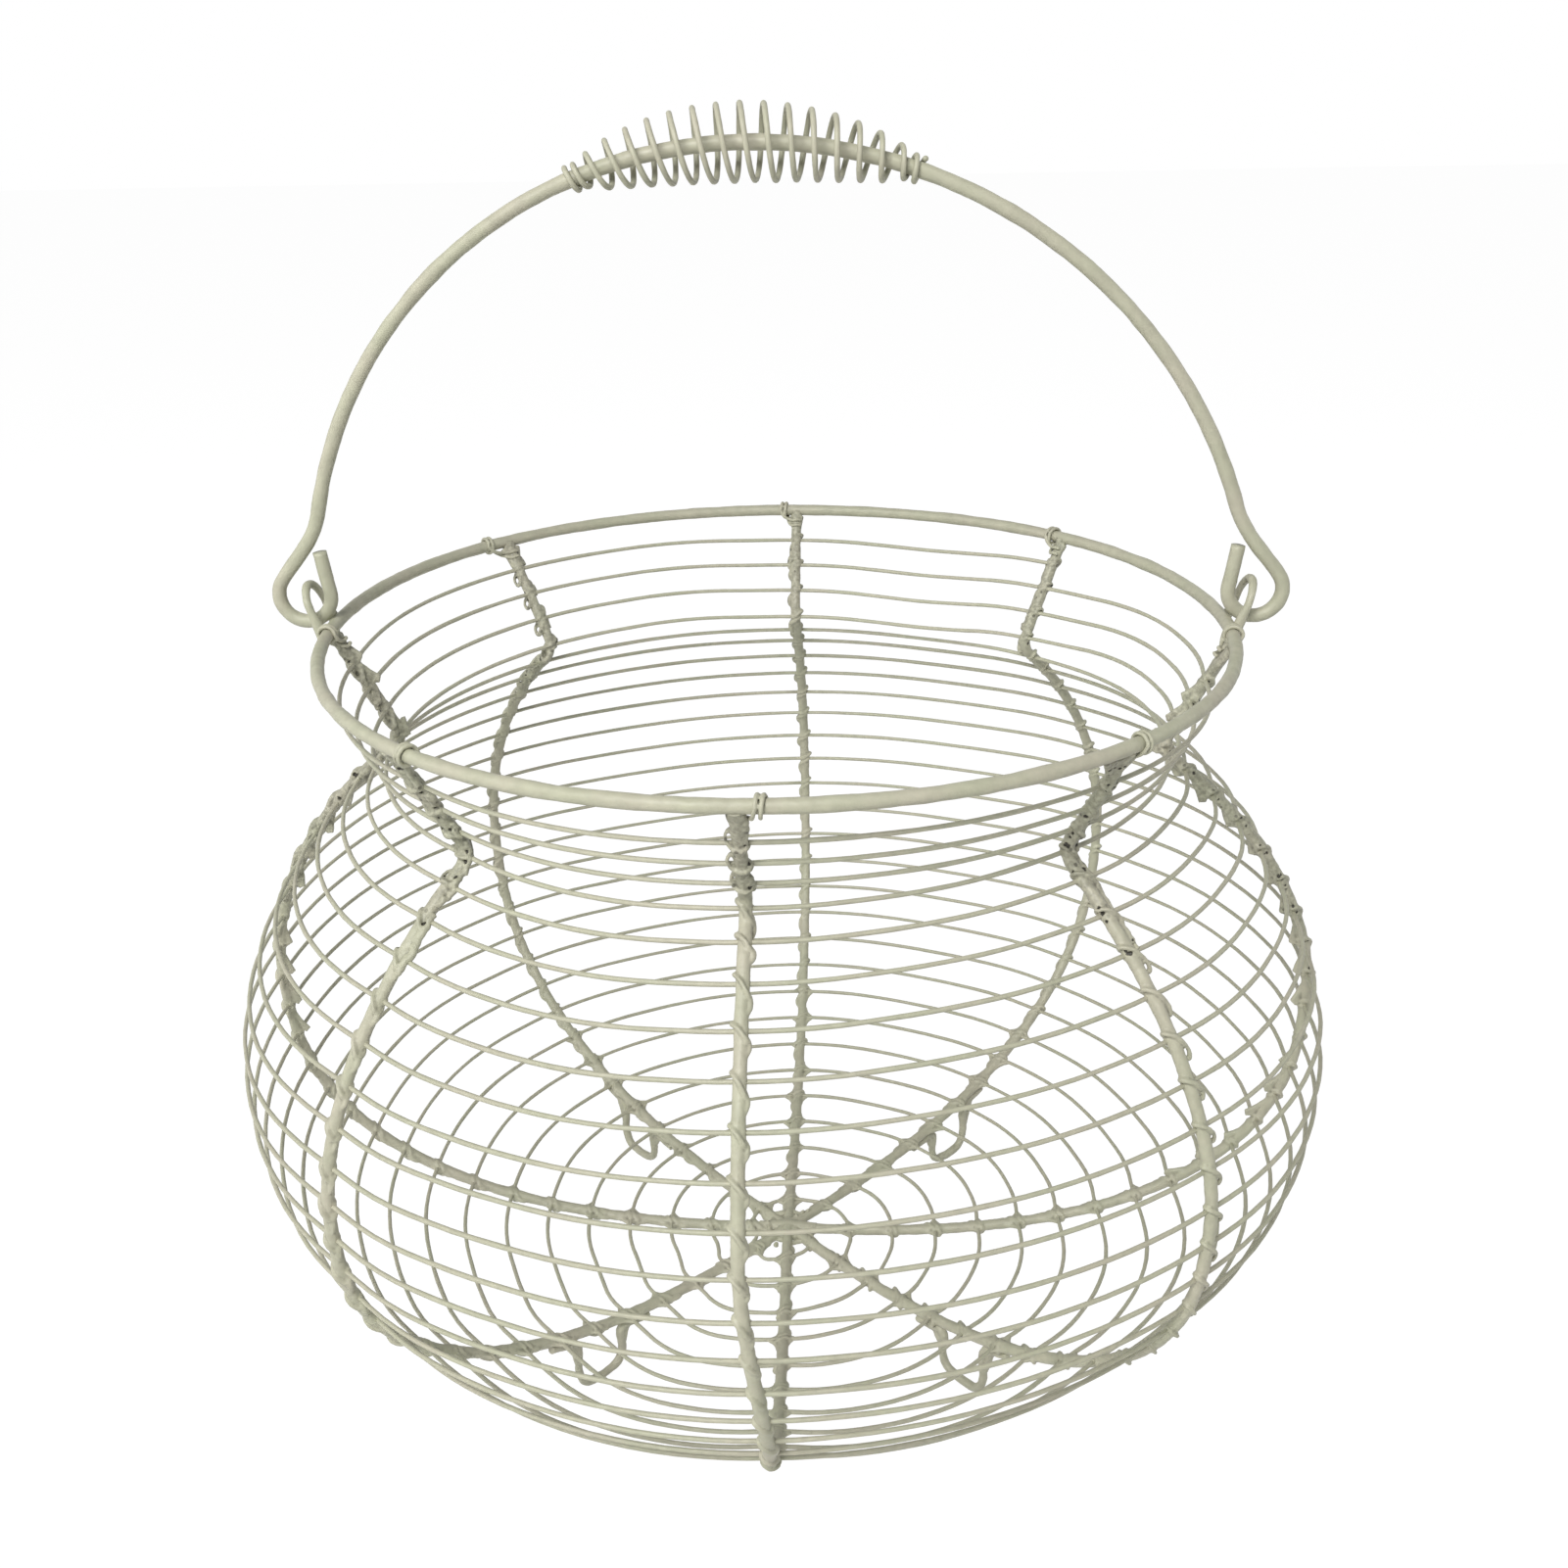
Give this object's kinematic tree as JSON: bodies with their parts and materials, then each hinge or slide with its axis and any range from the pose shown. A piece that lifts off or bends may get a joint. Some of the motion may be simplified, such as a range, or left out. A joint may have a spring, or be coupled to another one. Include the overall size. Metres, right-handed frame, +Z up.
{
  "type": "wire basket",
  "caption": "Round-bellied open wire egg basket with a flared rim, wound fine wire over upright ribs, small loop feet and a swinging bail with a coiled wire grip.",
  "frame": {"origin": "on the ground under the middle of the basket", "axes": "+Z up, X along the axis that the bail swings about, -Y is the front"},
  "size_m": [0.2994, 0.2996, 0.3371],
  "materials": {
    "frame_wire": "thick satin grey-green paint",
    "fine_wire": "thick satin grey-green paint with pits",
    "handle_wire": "thick satin grey-green paint"
  },
  "bodies": {
    "basket": {"rim_ring": "frame_wire", "rib_hoop_left_right": "frame_wire", "rib_front": "frame_wire", "rib_front_right": "frame_wire", "rib_back_right": "frame_wire", "rib_back": "frame_wire", "rib_back_left": "frame_wire", "rib_front_left": "frame_wire", "weft_neck": "fine_wire", "weft_shoulder": "fine_wire", "weft_upper_belly": "fine_wire", "weft_lower_belly": "fine_wire", "weft_heel": "fine_wire", "weft_base_outer": "fine_wire", "weft_base_inner": "fine_wire", "rim_lashing_front": "fine_wire", "rim_lashing_front_right": "fine_wire", "rim_lashing_right": "fine_wire", "rim_lashing_back_right": "fine_wire", "rim_lashing_back": "fine_wire", "rim_lashing_back_left": "fine_wire", "rim_lashing_left": "fine_wire", "rim_lashing_front_left": "fine_wire", "foot_front_right": "frame_wire", "foot_back_right": "frame_wire", "foot_back_left": "frame_wire", "foot_front_left": "frame_wire", "ear_left": "frame_wire", "ear_right": "frame_wire"},
    "handle": {"bail": "handle_wire", "grip_spring": "handle_wire"}
  },
  "joints": [
    {"name": "bail_swing", "type": "hinge", "parent": "basket", "child": "handle", "pos_m": [0, 0, 0.213], "axis": [1, 0, 0], "range_deg": [-85, 80]}
  ]
}
